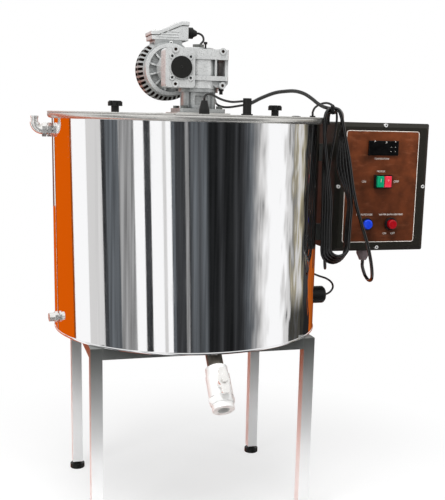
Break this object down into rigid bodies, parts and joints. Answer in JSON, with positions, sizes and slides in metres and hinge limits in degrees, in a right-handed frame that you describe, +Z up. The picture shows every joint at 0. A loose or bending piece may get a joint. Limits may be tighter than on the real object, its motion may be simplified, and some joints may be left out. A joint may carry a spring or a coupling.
{
  "type": "chocolate melting tank",
  "caption": "Round water-jacketed melting tank on a tube stand, with a geared paddle mixer on its lid, a slanted outlet valve and a side control box.",
  "frame": {"origin": "on the floor, below the tank's axis", "axes": "+Z up, front towards -Y, control box on the +X side"},
  "size_m": [0.921, 0.6779, 1.111],
  "materials": {
    "polished_steel": "mirror polish",
    "plain_steel": "satin",
    "plated_fitting": "plated",
    "foot_plastic": "matte",
    "black_plastic": "satin",
    "cast_alloy": "painted silver-grey",
    "gear_bronze": "machined",
    "motor_iron": "varnished",
    "box_black": "textured satin",
    "panel_brown": "printed film",
    "green_key": "gloss",
    "red_key": "gloss",
    "blue_lens": "gloss",
    "cord_black": "satin"
  },
  "bodies": {
    "tank": {"leg_front_left": "polished_steel", "leg_front_right": "polished_steel", "leg_rear_left": "polished_steel", "leg_rear_right": "polished_steel", "stand_rails": "polished_steel", "levelling_feet": "foot_plastic", "outer_jacket": "polished_steel", "jacket_base": "plain_steel", "inner_bowl": "plain_steel", "rim_ring": "polished_steel", "water_filler": "plated_fitting", "drain_fitting": "plated_fitting", "outlet_pipe": "polished_steel", "valve_body": "plated_fitting", "valve_end": "plated_fitting", "heater_element": "plain_steel", "heater_cover": "black_plastic", "lid_bridge": "polished_steel", "right_lid": "polished_steel", "hinge_pins": "plain_steel", "right_knob": "black_plastic", "pedestal": "cast_alloy", "pedestal_bolts": "plain_steel", "reducer_housing": "cast_alloy", "reducer_plugs": "black_plastic", "motor_shield": "cast_alloy", "motor_frame": "cast_alloy", "motor_stator": "motor_iron", "fan_cowl": "cast_alloy", "terminal_box": "cast_alloy", "terminal_lid": "cast_alloy", "cable_glands": "black_plastic", "lead_posts": "black_plastic", "control_box": "box_black", "box_lid": "box_black", "control_panel": "panel_brown", "temperature_controller": "black_plastic", "panel_fittings": "black_plastic", "pilot_lens": "blue_lens", "box_bracket": "polished_steel", "lead_hook": "polished_steel", "probe_lead": "cord_black", "motor_lead": "cord_black", "main_lead": "cord_black", "lead_coil": "cord_black", "box_lead": "cord_black", "heater_lead": "cord_black", "lid_lead": "cord_black"},
    "lid": {"left_lid": "polished_steel", "left_knob": "black_plastic"},
    "rotor": {"motor_rotor": "motor_iron", "worm_shaft": "plain_steel"},
    "agitator": {"worm_wheel": "gear_bronze", "agitator_shaft": "plain_steel", "agitator_paddle": "plain_steel"},
    "valve": {"valve_ball": "plated_fitting", "valve_handle": "plated_fitting"},
    "start": {"start_button": "green_key"},
    "stop": {"stop_button": "red_key"},
    "heat": {"heat_button": "red_key"}
  },
  "joints": [
    {"name": "lid_hinge", "type": "hinge", "parent": "tank", "child": "lid", "pos_m": [-0.094, 0, 0.8985], "axis": [0, 1, 0], "range_deg": [0, 75]},
    {"name": "motor_turn", "type": "hinge", "parent": "tank", "child": "rotor", "pos_m": [-0.027, 0, 1], "axis": [0, 1, 0], "continuous": true},
    {"name": "agitator_turn", "type": "hinge", "parent": "tank", "child": "agitator", "pos_m": [0.023, 0, 1], "axis": [0, 0, 1], "continuous": true},
    {"name": "valve_turn", "type": "hinge", "parent": "tank", "child": "valve", "pos_m": [0, -0.31802, 0.35254], "axis": [0, -0.7254, 0.6884], "range_deg": [0, 90]},
    {"name": "start_press", "type": "slide", "parent": "tank", "child": "start", "axis": [0, 1, 0], "range_m": [0, 0.003], "stiffness_N_per_m": 300},
    {"name": "stop_press", "type": "slide", "parent": "tank", "child": "stop", "axis": [0, 1, 0], "range_m": [0, 0.003], "stiffness_N_per_m": 300},
    {"name": "heat_press", "type": "slide", "parent": "tank", "child": "heat", "axis": [0, 1, 0], "range_m": [0, 0.003], "stiffness_N_per_m": 300}
  ],
  "couplings": [
    {"joint": "agitator_turn", "follows": "motor_turn", "ratio": -0.033333}
  ]
}
